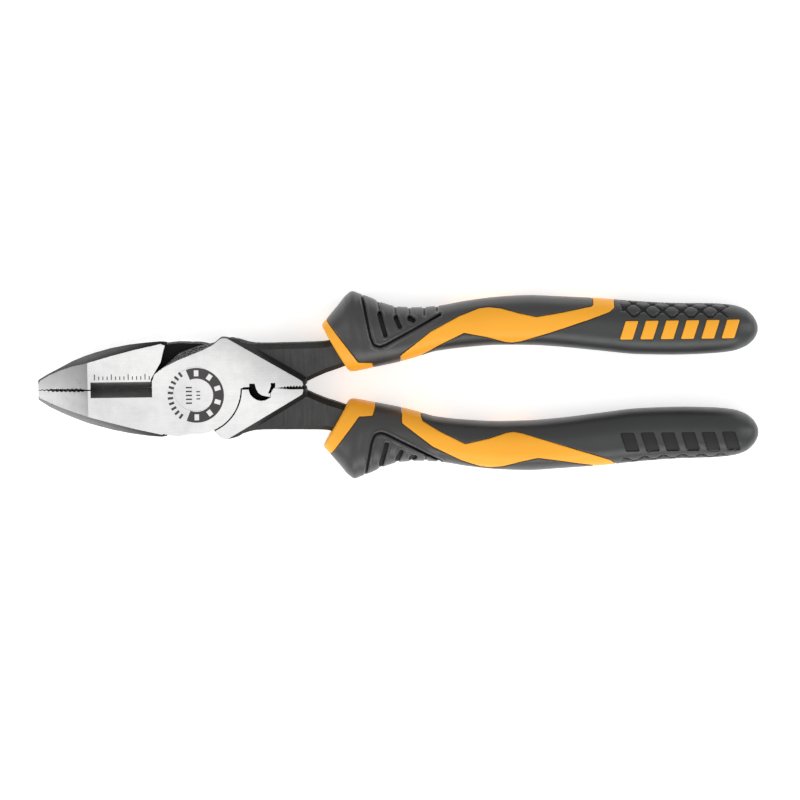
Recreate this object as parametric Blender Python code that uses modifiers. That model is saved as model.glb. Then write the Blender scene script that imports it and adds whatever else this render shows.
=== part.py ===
"""High-leverage lineman pliers, 240 mm long, lying flat with the jaws closed.

Row frame: +X from the nose to the handle ends, +Y across the tool, +Z up. The
origin is the centre of the tool's footprint on the surface that it lies on.
The two forged halves are the same forging turned over about the X axis: each
carries one jaw, one lap of the joint and one handle tang. Lengths below are in
millimetres, head and handle dimensions are measured from the pivot axis.
"""

import math

import bmesh
import bpy
from mathutils import Matrix, Vector

MM = 0.001

# ---------------------------------------------------------------- dimensions
PIVOT_X = -67.5  # pivot axis, from the middle of the tool's length
MID_Z = 10.0  # parting plane of the joint above the surface it lies on
JOINT_H = 8.0  # half thickness of the joint and of the flat of the jaws
NECK_H = 5.2  # half thickness of the tangs where they leave the joint
DISC_R = 15.0  # round of each lap
RECESS_R = 15.3  # round of the recess that the other lap turns in
SEAM = 0.16  # half of the gap left between faces that touch
RIVET_R = 5.5
RIVET_HEAD_R = 7.4
RIVET_HEAD_H = 1.7
RIVET_CLEAR = 0.2
KNIFE_X = (-35.2, -14.6)  # the side cutter's window
KNIFE_Y = 2.75
NOSE_X = -36.2  # where the nose starts to taper
TIP_X = -52.5
CRIMP_X, CRIMP_R = 22.1, 4.1
NUB_R = 2.45
FACETS = 48
GAP = 0.3  # between the moulded pieces of a grip

# Outer edge of a jaw, at its widest level, from the nose back.
JAW_EDGE = [
    (-52.5, 3.3), (-49.0, 5.8), (-45.0, 7.8), (-41.0, 9.5), (-37.0, 11.0),
    (-33.0, 12.2), (-28.0, 13.6), (-22.0, 14.8), (-16.0, 15.6), (-11.5, 15.9),
]
# Edge of the ground flat of a jaw.
JAW_FLAT = [(-36.2, 8.7), (-28.0, 11.1), (-20.0, 13.2), (-11.9, 15.1), (-9.9, 15.0)]
# The rear of the joint, behind the recess: the ground diamond.
DIAMOND = [
    (6.6, 13.2), (8.6, 17.1), (10.6, 17.1), (34.3, 2.95), (35.4, 1.75),
    (35.4, SEAM), (12.0, SEAM),
]
# Centre line and half sizes of a tang: x, y, half width, half thickness.
TANG = [
    (14.0, 9.6, 6.4, NECK_H), (24.0, 8.3, 6.3, NECK_H), (34.0, 7.8, 7.2, NECK_H),
    (43.0, 9.4, 5.8, NECK_H), (52.0, 12.4, 5.4, 5.0), (67.5, 16.6, 4.9, 4.7),
    (85.0, 19.2, 4.4, 4.5), (107.0, 21.0, 4.2, 4.3), (134.0, 19.3, 4.1, 4.2),
    (162.0, 17.4, 3.8, 4.0), (166.0, 17.3, 2.6, 3.0),
]
# Outline of a grip: x, outer edge, inner edge, half thickness.
GRIP = [
    (40.0, 17.9, 2.6, 6.9), (42.1, 20.3, 3.2, 7.2), (45.1, 23.8, 3.9, 8.0),
    (47.8, 27.0, 4.4, 8.9), (50.5, 30.2, 4.6, 9.7), (52.5, 31.4, 4.6, 10.0),
    (54.5, 30.7, 4.9, 9.9), (58.5, 29.2, 5.7, 9.6), (62.5, 27.4, 6.5, 9.3),
    (67.8, 26.0, 7.6, 9.0), (73.8, 25.7, 9.2, 8.7), (80.0, 26.0, 11.0, 8.5),
    (91.2, 27.8, 12.3, 8.5), (101.2, 28.9, 12.85, 8.8), (111.0, 29.3, 12.7, 8.9),
    (121.2, 28.8, 12.0, 8.8), (134.6, 28.0, 10.5, 8.4), (148.0, 26.8, 9.1, 8.4),
    (161.3, 26.0, 8.8, 8.6), (172.0, 25.8, 9.1, 8.6), (179.0, 25.2, 9.8, 8.2),
    (183.4, 23.8, 11.3, 7.0), (185.9, 21.6, 13.4, 5.2), (187.1, 19.2, 15.8, 2.8),
    (187.5, 18.0, 17.0, 0.9),
]
# The orange stripe that winds round the grip, seen from above.
STRIPE = [
    (68.5, 0.0), (68.5, 11.6), (78.5, 19.45), (87.9, 24.35), (94.5, 26.8),
    (97.7, 27.2), (101.9, 26.75), (107.9, 25.1), (113.6, 23.85), (121.9, 25.1),
    (132.6, 27.05), (132.6, 34.0), (139.8, 34.0), (139.6, 26.4), (137.9, 25.1),
    (131.3, 22.8), (117.9, 18.5), (108.5, 15.6), (105.5, 15.1), (103.2, 15.4),
    (97.2, 17.25), (89.5, 18.85), (81.2, 14.7), (75.3, 11.15), (74.8, 9.5),
    (74.8, 0.0),
]
# The orange collar at the mouth of the grip, with its tab on the inner side.
COLLAR = [
    (30.0, 0.0), (30.0, 34.0), (35.7, 34.0), (44.5, 22.3), (54.3, 9.2),
    (58.8, 9.1), (60.3, 4.0), (60.3, 0.0),
]
MOUTH = ((42.1, 20.3), (50.8, 5.2))  # the slanted mouth of the grip, in plan
# Slots between the thumb ribs: end inside the grip, and point past its edge.
RIB_SLOTS = [
    ((63.3, 17.9), (59.1, 32.0)), ((68.0, 20.8), (64.7, 32.0)),
    ((72.2, 22.9), (70.7, 32.0)), ((77.3, 24.4), (77.0, 32.0)),
]
RIB_GROOVE = [(54.6, 36.0), (56.5, 27.7), (58.2, 18.9), (60.0, 15.0), (62.4, 14.6), (81.6, 24.3)]
SLOT_W, SLOT_DEPTH = 1.3, 1.0

FORGED = (0.60, 0.60, 0.59)
RIVET_STEEL = (0.62, 0.62, 0.61)
ORANGE = (1.0, 0.42, 0.03)
CHARCOAL = (0.045, 0.044, 0.043)


# ------------------------------------------------------------------- helpers
def clear_scene():
    for obj in list(bpy.data.objects):
        bpy.data.objects.remove(obj)


def collection(name):
    made = bpy.data.collections.new(name)
    bpy.context.scene.collection.children.link(made)
    return made


def material(name, colour, roughness, metallic):
    made = bpy.data.materials.new(name)
    made.use_nodes = True
    shader = made.node_tree.nodes["Principled BSDF"]
    shader.inputs["Base Color"].default_value = (*colour, 1.0)
    shader.inputs["Roughness"].default_value = roughness
    shader.inputs["Metallic"].default_value = metallic
    made.diffuse_color = (*colour, 1.0)
    return made


def add_object(name, data, where):
    obj = bpy.data.objects.new(name, data)
    where.objects.link(obj)
    return obj


def from_bmesh(name, bm, where):
    bmesh.ops.recalc_face_normals(bm, faces=bm.faces)
    mesh = bpy.data.meshes.new(name)
    bm.to_mesh(mesh)
    bm.free()
    return add_object(name, mesh, where)


def as_mesh(obj, weld=1e-6):
    """The evaluated object as a plain mesh object of the same name and place."""
    bpy.context.view_layer.update()
    graph = bpy.context.evaluated_depsgraph_get()
    mesh = bpy.data.meshes.new_from_object(obj.evaluated_get(graph))
    bm = bmesh.new()
    bm.from_mesh(mesh)
    bmesh.ops.remove_doubles(bm, verts=bm.verts, dist=weld)
    bmesh.ops.recalc_face_normals(bm, faces=bm.faces)
    bm.to_mesh(mesh)
    bm.free()
    name, matrix, where = obj.name, obj.matrix_world.copy(), obj.users_collection[0]
    bpy.data.objects.remove(obj)
    made = add_object(name, mesh, where)
    made.matrix_world = matrix
    return made


def plate(name, outline, low, high, where):
    """A flat outline, extruded from low to high along Z."""
    curve = bpy.data.curves.new(name, "CURVE")
    curve.dimensions = "2D"
    curve.fill_mode = "BOTH"
    curve.extrude = (high - low) / 2 * MM
    spline = curve.splines.new("POLY")
    spline.points.add(len(outline) - 1)
    for point, (x, y) in zip(spline.points, outline):
        point.co = (x * MM, y * MM, 0.0, 1.0)
    spline.use_cyclic_u = True
    obj = as_mesh(add_object(name, curve, where))
    for vert in obj.data.vertices:
        vert.co.z = (high if vert.co.z > 0 else low) * MM
    return obj


def cylinder(name, radius, low, high, where, centre=(0.0, 0.0), facets=FACETS):
    bm = bmesh.new()
    bmesh.ops.create_cone(
        bm, cap_ends=True, segments=facets, radius1=radius * MM, radius2=radius * MM,
        depth=(high - low) * MM,
        matrix=Matrix.Translation(Vector((centre[0], centre[1], (low + high) / 2)) * MM),
    )
    return from_bmesh(name, bm, where)


def hull(name, points, where):
    bm = bmesh.new()
    for p in points:
        bm.verts.new(Vector(p) * MM)
    found = bmesh.ops.convex_hull(bm, input=bm.verts)
    inside = [g for g in found["geom_interior"] + found["geom_unused"]]
    bmesh.ops.delete(
        bm, geom=list({g for g in inside if isinstance(g, bmesh.types.BMVert)}), context="VERTS"
    )
    return from_bmesh(name, bm, where)


def turned(name, profile, where, facets=FACETS):
    """A profile of (radius, z), swept round Z by a Screw modifier."""
    mesh = bpy.data.meshes.new(name)
    bm = bmesh.new()
    verts = [bm.verts.new((r * MM, 0.0, z * MM)) for r, z in profile]
    for a, b in zip(verts, verts[1:]):
        bm.edges.new((a, b))
    bm.to_mesh(mesh)
    bm.free()
    obj = add_object(name, mesh, where)
    screw = obj.modifiers.new("turn", "SCREW")
    screw.steps = screw.render_steps = facets
    screw.use_merge_vertices = True
    screw.merge_threshold = 1e-6
    return as_mesh(obj)


def ring(x, y, a, b, power, count):
    """A rounded cross-section in the plane of constant x."""
    points = []
    for k in range(count):
        t = 2 * math.pi * k / count
        c, s = math.cos(t), math.sin(t)
        points.append(
            (x, y + a * math.copysign(abs(c) ** (2 / power), c),
             b * math.copysign(abs(s) ** (2 / power), s))
        )
    return points


def loft(name, rings, where):
    """A closed skin through rings of equal count: no primitive joins unlike sections."""
    bm = bmesh.new()
    loops = []
    for points in rings:
        verts = [bm.verts.new(Vector(p) * MM) for p in points]
        edges = [bm.edges.new((verts[i], verts[(i + 1) % len(verts)])) for i in range(len(verts))]
        loops.append((verts, edges))
    for (_, low), (_, high) in zip(loops, loops[1:]):
        bmesh.ops.bridge_loops(bm, edges=low + high)
    bm.faces.new(loops[0][0])
    bm.faces.new(loops[-1][0])
    return from_bmesh(name, bm, where)


def combine(target, other, operation):
    """Joins or cuts with the EXACT solver, keeps the result as a mesh and drops the other object."""
    modifier = target.modifiers.new(operation.lower(), "BOOLEAN")
    modifier.operation = operation
    modifier.solver = "EXACT"
    modifier.object = other
    made = as_mesh(target)
    bpy.data.objects.remove(other)
    return made


def copy_of(obj, name, where):
    made = add_object(name, obj.data.copy(), where)
    made.matrix_world = obj.matrix_world
    return made


def mirrored(outline, side):
    points = [(x, y * side) for x, y in outline]
    return points if side > 0 else points[::-1]


def grown(outline, amount):
    """The outline moved outwards by the same amount all round."""
    area = sum(a[0] * b[1] - b[0] * a[1] for a, b in zip(outline, outline[1:] + outline[:1]))
    sign = 1 if area > 0 else -1
    count, out = len(outline), []
    for i in range(count):
        before, here, after = (Vector(outline[j % count]) for j in (i - 1, i, i + 1))
        n1 = (here - before).normalized()
        n2 = (after - here).normalized()
        n1, n2 = Vector((n1.y, -n1.x)) * sign, Vector((n2.y, -n2.x)) * sign
        bisector = (n1 + n2).normalized()
        out.append(tuple(here + bisector * (amount / max(0.35, bisector.dot(n1)))))
    return out


def smooth_rows(rows, step):
    """Rows at an even spacing along x, on monotone cubic curves through the given ones."""
    xs = [r[0] for r in rows]
    width = len(rows[0])
    slopes = []
    for c in range(1, width):
        d = [(rows[i + 1][c] - rows[i][c]) / (xs[i + 1] - xs[i]) for i in range(len(rows) - 1)]
        m = [d[0]] + [0.0 if a * b <= 0 else 2 * a * b / (a + b) for a, b in zip(d, d[1:])] + [d[-1]]
        slopes.append(m)
    out = []
    for i in range(len(rows) - 1):
        h = xs[i + 1] - xs[i]
        for k in range(max(1, round(h / step))):
            t = k / max(1, round(h / step))
            row = [xs[i] + t * h]
            for c in range(1, width):
                m = slopes[c - 1]
                row.append(
                    (2 * t**3 - 3 * t**2 + 1) * rows[i][c] + (t**3 - 2 * t**2 + t) * h * m[i]
                    + (3 * t**2 - 2 * t**3) * rows[i + 1][c] + (t**3 - t**2) * h * m[i + 1]
                )
            out.append(tuple(row))
    return out + [rows[-1]]


def thick_line(points, width):
    """The outline of a line of the given width, with square ends."""
    left, right = [], []
    for i, p in enumerate(points):
        here = Vector(p)
        before = Vector(points[max(0, i - 1)])
        after = Vector(points[min(len(points) - 1, i + 1)])
        n1 = (here - before).normalized() if i else (after - here).normalized()
        n2 = (after - here).normalized() if i < len(points) - 1 else n1
        n = (n1 + n2).normalized()
        n = Vector((-n.y, n.x)) * (width / 2 / max(0.4, n.dot(n1)))
        left.append(tuple(here + n))
        right.append(tuple(here - n))
    return left + right[::-1]


def islands(obj, where):
    """Splits an object into its separate bodies, largest reach in x first."""
    bm = bmesh.new()
    bm.from_mesh(obj.data)
    left, groups = set(bm.faces), []
    while left:
        stack, found = [left.pop()], []
        while stack:
            face = stack.pop()
            found.append(face.index)
            for edge in face.edges:
                for other in edge.link_faces:
                    if other in left:
                        left.discard(other)
                        stack.append(other)
        groups.append(set(found))
    bm.free()
    made = []
    for group in groups:
        part = bmesh.new()
        part.from_mesh(obj.data)
        bmesh.ops.delete(part, geom=[f for f in part.faces if f.index not in group], context="FACES")
        made.append((part.calc_volume(), from_bmesh(obj.name + "_part", part, where)))
    bpy.data.objects.remove(obj)
    return made


# --------------------------------------------------------------- the forging
def arc(radius, start, end, count):
    return [
        (radius * math.cos(math.radians(start + (end - start) * k / count)),
         radius * math.sin(math.radians(start + (end - start) * k / count)))
        for k in range(count + 1)
    ]


def lap_outline():
    """The lap of the half whose jaw is at -Y and whose handle is at +Y."""
    return (
        arc(DISC_R, 164, 177, 4)
        + [(-DISC_R, -SEAM), (-15.6, -SEAM - 0.04), (-19.0, -2.0), (-19.0, -13.3), (-11.9, -15.1), (-6.4, -15.35)]
        + arc(DISC_R, -98, -3, 24)
        + [(DISC_R, SEAM), (15.6, SEAM + 0.04), (18.0, 2.0), (18.0, 12.5), (10.6, 17.1), (8.6, 17.1)]
        + [(7.6, 16.3), (6.6, 15.1), (0.0, 12.3), (-7.8, 9.1), (-11.3, 6.7), (-13.4, 4.7)]
    )


def jaw(where, side):
    """One jaw, from the recess to the nose, as the hull of its ground flats and its rounded back."""
    points = []
    for z in (-1, 1):
        points += [(x, y, 3.4 * z) for x, y in JAW_EDGE]
        points += [(x, y, JOINT_H * z) for x, y in JAW_FLAT]
        points += [(-9.4, 15.6, 4.2 * z), (NOSE_X, SEAM, JOINT_H * z), (-12.0, SEAM, JOINT_H * z)]
        points += [(TIP_X, SEAM, 4.9 * z), (TIP_X, 2.2, 4.9 * z), (-11.3, 9.0, JOINT_H * z)]
    return hull("jaw", [(x, side * y, z) for x, y, z in points], where)


def rear(where, side):
    """The rear of the joint: a raised diamond on the neck of the tang."""
    points = []
    wide = grown(DIAMOND, 0.9)
    for z in (-1, 1):
        points += [(x, y, JOINT_H * z) for x, y in DIAMOND]
        points += [(x, max(y, SEAM), 5.0 * z) for x, y in wide if x > 5.0]
    return hull("rear", [(x, side * y, z) for x, y, z in points], where)


def tang(where, side, grow=0.0, start=None, end=None):
    rows = [r for r in smooth_rows(TANG, 6.0) if start is None or r[0] >= start]
    rings = []
    for x, y, a, b in rows:
        a, b, c = a + grow, b + grow, 1.5 + 0.4 * grow
        rings.append([
            (x, side * y + a, b - c), (x, side * y + a - c, b), (x, side * y - a + c, b),
            (x, side * y - a, b - c), (x, side * y - a, c - b), (x, side * y - a + c, -b),
            (x, side * y + a - c, -b), (x, side * y + a, c - b),
        ])
    if end is not None:
        last = rings[-1]
        rings.append([(x + end, y, z) for x, y, z in last])
    return loft("tang", rings, where)


def shoulder(where, side):
    """The outer corner of the neck, which the joint's diamond stands on."""
    outline = [(9.4, 12.0), (9.4, 16.6), (14.4, 16.9), (17.8, 14.8), (22.0, 14.2), (22.0, 7.0)]
    return plate("shoulder", mirrored(outline, side), -4.9, 4.9, where)


def teeth(where, side, first, last, pitch, depth):
    """V grooves across a gripping face."""
    outline = [(first, -side * 2.0), (first, side * SEAM)]
    count = round((last - first) / pitch)
    for k in range(count):
        outline += [(first + (k + 0.5) * pitch, side * (SEAM + depth)), (first + (k + 1) * pitch, side * (SEAM - 0.02))]
    outline.append((last, -side * 2.0))
    return plate("teeth", outline if side < 0 else outline[::-1], -12.0, 12.0, where)


def knife_cut(where, side, face):
    """The bevel that leaves the side cutter's edge, on one face of a jaw."""
    bm = bmesh.new()
    rows = []
    for x in KNIFE_X:
        rows.append([
            bm.verts.new(Vector((x, side * y, face * z)) * MM)
            for y, z in ((KNIFE_Y, JOINT_H), (KNIFE_Y, JOINT_H + 2), (-3.0, JOINT_H + 2), (-3.0, 0.5), (SEAM, 0.5))
        ])
    edges = [[bm.edges.new((r[i], r[(i + 1) % 5])) for i in range(5)] for r in rows]
    bmesh.ops.bridge_loops(bm, edges=edges[0] + edges[1])
    bm.faces.new(rows[0])
    bm.faces.new(rows[1])
    return from_bmesh("knife_cut", bm, where)


def half(name, where, face):
    """One forged half. face is +1 where its lap is on top: its jaw is then at -Y and its handle at +Y."""
    side = face
    full = jaw(where, -side)
    full = combine(full, cylinder("c", RECESS_R, -20, 20, where), "DIFFERENCE")
    back = rear(where, side)
    neck = combine(tang(where, side), shoulder(where, side), "UNION")
    back = combine(back, neck, "UNION")
    back = combine(back, cylinder("c", RECESS_R, -20, 20, where), "DIFFERENCE")
    back = combine(back, teeth(where, side, 27.5, 35.2, 1.1, 0.4), "DIFFERENCE")
    low, high = (SEAM, JOINT_H) if face > 0 else (-JOINT_H, -SEAM)
    lap = plate("lap", mirrored(lap_outline(), side), low, high, where)
    body = combine(lap, full, "UNION")
    body = combine(body, back, "UNION")
    for f in (-1, 1):
        body = combine(body, knife_cut(where, -side, f), "DIFFERENCE")
    body = combine(body, teeth(where, -side, -50.6, -37.1, 1.125, 0.55), "DIFFERENCE")
    if face > 0:
        # The male crimping die stands between two notches.
        notch = [(CRIMP_X + x, y) for x, y in arc(CRIMP_R, -207, 27, 26)]
        notch = plate("notch", notch, -20, 20, where)
        body = combine(body, notch, "DIFFERENCE")
        nub = [(CRIMP_X + x, y) for x, y in [(3.1, 3.2), (-2.3, 3.2)] + arc(NUB_R, 190, 335, 12)]
        nub = [(x, y - 0.25 if y < 1 else y) for x, y in nub]
        body = combine(body, plate("nub", nub, -JOINT_H, JOINT_H, where), "UNION")
    else:
        nest = cylinder("nest", CRIMP_R, -20, 20, where, (CRIMP_X, 0.0), 40)
        body = combine(body, nest, "DIFFERENCE")
    body = combine(body, rivet_shape(where, "bore", RIVET_CLEAR, 3.0), "DIFFERENCE")
    body.name = body.data.name = name
    return body


def rivet_shape(where, name, grow=0.0, past=0.0):
    r, head, h = RIVET_R + grow, RIVET_HEAD_R + grow, JOINT_H
    profile = [(0.0, h + past), (head, h + past)]
    if past:
        profile.append((head, h))
    profile += [(r, h - RIVET_HEAD_H), (r, RIVET_HEAD_H - h)]
    if past:
        profile.append((head, -h))
    profile += [(head, -h - past), (0.0, -h - past)]
    return turned(name, profile, where)


# ----------------------------------------------------------------- the grips
def grip_rings(side, step, shrink=0.0, count=16):
    rings = []
    for x, outer, inner, high in smooth_rows(GRIP, step):
        a = max(0.3, (outer - inner) / 2 - shrink)
        b = max(0.3, high - shrink)
        if x > GRIP[-1][0] - shrink:
            break
        rings.append(ring(x, side * (outer + inner) / 2, a, b, 2.35, count))
    return rings


def grip_body(where, side, shrink=0.0, step=7.0):
    body = loft("grip", grip_rings(side, step, shrink), where)
    (x1, y1), (x2, y2) = MOUTH
    along = Vector((x2 - x1, y2 - y1)).normalized()
    out = Vector((-abs(along.y), -abs(along.x)))
    base = Vector((x1, y1)) - out * shrink
    corners = [base - along * 40, base + along * 40, base + along * 40 + out * 40, base - along * 40 + out * 40]
    front = plate("front", mirrored([tuple(c) for c in corners], side), -20, 20, where)
    return combine(body, front, "DIFFERENCE")


def grip(where, side, names):
    core_name, guard_name, end_name = names
    body = grip_body(where, side)
    stripe = plate("stripe", mirrored(STRIPE, side), -20, 20, where)
    collar = plate("collar", mirrored(COLLAR, side), -20, 20, where)
    sleeve = tang(where, side, 1.8, start=36.0, end=2.0)
    sleeve = combine(sleeve, grip_body(where, side, 0.6, 8.0), "INTERSECT")
    shown = combine(stripe, collar, "UNION")
    shown = combine(shown, copy_of(body, "grip_copy", where), "INTERSECT")
    core = combine(shown, sleeve, "UNION")
    core = combine(core, tang(where, side, 0.3, start=20.0, end=0.5), "DIFFERENCE")
    core.name = core.data.name = core_name

    cover = combine(body, tang(where, side, 2.1, start=30.0, end=2.3), "DIFFERENCE")
    for outline in (STRIPE, COLLAR):
        wider = plate("wider", mirrored(grown(outline, GAP), side), -21, 21, where)
        cover = combine(cover, wider, "DIFFERENCE")
    parts = sorted(islands(cover, where), key=lambda p: -p[0])
    for _, scrap in parts[2:]:
        bpy.data.objects.remove(scrap)
    front, back = sorted((p[1] for p in parts[:2]), key=lambda o: min(v.co.x for v in o.data.vertices))

    inside = grip_body(where, side, SLOT_DEPTH, 6.0)
    cuts = plate("groove", mirrored(thick_line(RIB_GROOVE, 1.1), side), -21, 21, where)
    for start, past in RIB_SLOTS:
        slot = plate("slot", mirrored(thick_line([start, past], SLOT_W), side), -21, 21, where)
        cuts = combine(cuts, slot, "UNION")
    cuts = combine(cuts, inside, "DIFFERENCE")
    front = combine(front, cuts, "DIFFERENCE")
    front.name = front.data.name = guard_name
    back.name = back.data.name = end_name
    return core, front, back


# ------------------------------------------------------------------ assembly
def main():
    clear_scene()
    parts = collection("lineman_pliers")
    frame = add_object("pliers_frame", None, parts)
    pivots = {}
    for key in ("upper_handle", "lower_handle"):
        pivot = add_object(key + "_pivot", None, parts)
        pivot.parent = frame
        pivot.location = (PIVOT_X * MM, 0.0, MID_Z * MM)
        pivots[key] = pivot

    steel = material("forged_steel", FORGED, 0.3, 1.0)
    pin_steel = material("rivet_steel", RIVET_STEEL, 0.25, 1.0)
    orange = material("orange_plastic", ORANGE, 0.42, 0.0)
    rubber = material("charcoal_rubber", CHARCOAL, 0.55, 0.0)

    made = []
    for key, face in (("upper_handle", 1), ("lower_handle", -1)):
        made.append((half(key + "_forging", parts, face), steel, key))
        names = (key + "_grip_core", key + "_guard_cover", key + "_end_cover")
        core, front, back = grip(parts, face, names)
        made += [(core, orange, key), (front, rubber, key), (back, rubber, key)]
    made.append((rivet_shape(parts, "pivot_rivet"), pin_steel, "upper_handle"))

    for obj, look, key in made:
        obj.data.materials.clear()
        obj.data.materials.append(look)
        obj.data.shade_smooth()
        obj.data.set_sharp_from_angle(angle=math.radians(32))
        obj.parent = pivots[key]


main()
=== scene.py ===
"""The looks of the lineman pliers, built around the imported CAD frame.

Every visible shape is a signed distance function, meshed by dual contouring, so
that ground edges stay crisp and moulded edges stay round. Lengths are in
millimetres from the pivot axis until a mesh is placed. The second half of the
tool is the first one turned over about the X axis.
"""

import math

import bpy
import numpy as np
from mathutils import Matrix, Vector


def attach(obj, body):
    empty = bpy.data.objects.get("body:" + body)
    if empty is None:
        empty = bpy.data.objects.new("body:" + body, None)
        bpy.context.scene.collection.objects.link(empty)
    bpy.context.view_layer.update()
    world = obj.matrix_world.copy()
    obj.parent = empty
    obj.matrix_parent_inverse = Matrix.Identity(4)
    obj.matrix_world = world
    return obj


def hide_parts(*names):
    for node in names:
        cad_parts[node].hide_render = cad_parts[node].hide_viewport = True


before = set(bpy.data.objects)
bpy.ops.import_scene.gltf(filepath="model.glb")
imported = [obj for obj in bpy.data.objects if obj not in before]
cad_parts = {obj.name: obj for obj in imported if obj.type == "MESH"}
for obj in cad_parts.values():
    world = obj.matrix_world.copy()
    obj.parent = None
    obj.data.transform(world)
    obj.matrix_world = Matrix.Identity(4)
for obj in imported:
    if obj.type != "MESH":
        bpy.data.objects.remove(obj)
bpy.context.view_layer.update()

MM = 0.001
PIVOT = (-67.5, 0.0, 10.0)
FINE = 0.3

# ---------------------------------------------------------------- dimensions
JOINT_H = 8.0
NECK_H = 5.2
DISC_R = 15.0
RECESS_R = 15.45
SEAM = 0.04
NOSE_X = -35.8
NOSE_SLOPE, NOSE_HOLLOW = 0.245, 0.0034
KNIFE_X = (-34.9, -14.45)
KNIFE_Y = 2.7

JAW_EDGE = [
    (-52.5, 3.3), (-49.0, 5.8), (-45.0, 7.8), (-41.0, 9.5), (-37.0, 11.0),
    (-33.0, 12.2), (-28.0, 13.6), (-22.0, 14.8), (-16.0, 15.6), (-11.5, 15.9),
]
JAW_REAR = [(-9.7, 15.6), (-9.7, 14.5), (-11.5, 8.9), (-13.2, 6.1), (-14.7, 3.6), (-15.3, SEAM)]
FLAT_EDGE = [(-60.0, -0.8), (-52.5, 2.5), (-49.0, 4.15), (-45.0, 5.85), (-41.0, 7.25), (-36.2, 8.8), (-28.0, 11.1), (-20.0, 13.2), (-11.4, 15.15)]
# the other half's jaw, which is ground wider at the nose and leans in towards its far face
FAR_JAW_EDGE = [
    (-52.5, 3.0), (-49.0, 5.0), (-45.0, 7.0), (-41.0, 9.1), (-37.0, 10.7),
    (-33.0, 12.0), (-28.0, 13.3), (-22.0, 14.4), (-16.0, 15.0), (-11.5, 15.3),
]
FAR_FLAT_EDGE = [(-60.0, -1.2), (-52.5, 2.75), (-49.0, 4.85), (-45.0, 6.6), (-41.0, 7.9), (-36.2, 9.0), (-28.0, 11.3), (-20.0, 13.3), (-11.4, 15.15)]
FAR_LEAN = 0.1
SHOULDER = [(-14.3, 2.9), (-13.65, 4.95), (-11.9, 6.4), (-9.6, 8.1), (-7.8, 9.7), (-5.4, 11.7), (-2.0, 12.95), (1.45, 13.95), (4.2, 14.4), (6.4, 14.9)]
FACE_EDGE = [(-14.3, 2.9), (-13.65, 4.94), (-11.9, 6.3), (-9.8, 7.6), (-7.8, 8.63), (-5.4, 9.77), (1.45, 12.44), (6.43, 14.9), (7.1, 15.9)]
DIAMOND = [(6.4, 14.5), (7.2, 15.5), (8.4, 16.55), (9.4, 16.85), (10.7, 16.75), (34.6, 2.75), (35.5, 2.1), (35.8, 1.2), (35.8, SEAM), (7.0, SEAM)]
TANG = [
    (14.0, 9.6, 6.4, 5.2), (20.0, 8.2, 6.2, 5.2), (28.0, 7.45, 6.95, 5.2), (34.0, 7.45, 7.0, 5.2), (36.0, 7.8, 6.7, 5.2),
    (38.0, 8.3, 6.25, 5.2), (40.5, 8.9, 5.7, 5.2), (44.7, 9.95, 5.1, 5.2), (52.0, 12.4, 5.1, 5.0), (67.5, 16.6, 4.9, 4.7),
    (85.0, 19.2, 4.4, 4.5), (107.0, 21.0, 4.2, 4.3), (134.0, 19.3, 4.1, 4.2),
    (162.0, 17.4, 3.8, 4.0), (166.0, 17.3, 2.6, 3.0),
]
GRIP = [
    (40.0, 17.9, 2.6, 6.3), (42.1, 20.3, 3.2, 6.9), (45.1, 23.8, 3.9, 7.85),
    (47.8, 27.0, 4.4, 8.75), (50.5, 30.2, 4.6, 9.65), (52.5, 31.4, 4.6, 10.0),
    (54.5, 30.7, 4.9, 9.8), (58.5, 29.2, 5.7, 9.6), (62.5, 27.4, 6.5, 9.3),
    (67.8, 26.0, 7.6, 9.0), (73.8, 25.7, 9.2, 8.7), (80.0, 26.0, 11.0, 8.5),
    (91.2, 27.8, 12.3, 8.5), (101.2, 28.9, 12.85, 8.8), (111.0, 29.3, 12.7, 8.9),
    (121.2, 28.8, 12.0, 8.8), (134.6, 28.0, 10.5, 8.4), (148.0, 26.8, 9.1, 8.4),
    (161.3, 26.0, 8.8, 8.6), (172.0, 25.8, 9.1, 8.6), (179.0, 25.2, 9.8, 8.2),
    (183.4, 23.8, 11.3, 7.0), (185.9, 21.7, 13.2, 5.4), (187.0, 20.0, 14.8, 3.8),
    (187.5, 18.8, 16.0, 2.4),
]
STRIPE = [
    (68.5, -4.0), (68.5, 11.6), (78.5, 19.45), (87.9, 24.35), (94.5, 26.8),
    (97.7, 27.2), (101.9, 26.75), (107.9, 25.1), (113.6, 23.85), (121.9, 25.1),
    (132.6, 27.05), (132.6, 40.0), (139.8, 40.0), (139.6, 26.4), (137.9, 25.1),
    (131.3, 22.8), (117.9, 18.5), (108.5, 15.6), (105.5, 15.1), (103.2, 15.4),
    (97.2, 17.25), (89.5, 18.85), (81.2, 14.7), (75.3, 11.15), (74.8, 9.5),
    (74.8, -4.0),
]
COLLAR = [
    (30.0, -4.0), (30.0, 40.0), (31.2, 40.0), (44.5, 22.3), (54.3, 9.2),
    (58.8, 9.1), (60.3, 4.0), (60.3, -4.0),
]
MOUTH = ((42.1, 20.3), (50.8, 5.2))
RIB_SLOTS = [
    ((63.3, 17.9), (59.1, 32.0)), ((68.0, 20.8), (64.7, 32.0)),
    ((72.2, 22.9), (70.7, 32.0)), ((77.3, 24.4), (77.0, 32.0)),
]
RIB_GROOVE = [(53.6, 40.0), (56.5, 27.7), (58.4, 18.0), (59.4, 15.2), (61.6, 14.6), (63.5, 15.3), (81.6, 24.9)]


# ------------------------------------------------------------ distance fields
def smax(a, b, k):
    h = np.maximum(k - np.abs(a - b), 0.0) / k
    return np.maximum(a, b) + h * h * k * 0.25


def smin(a, b, k):
    return -smax(-a, -b, k)


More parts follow.
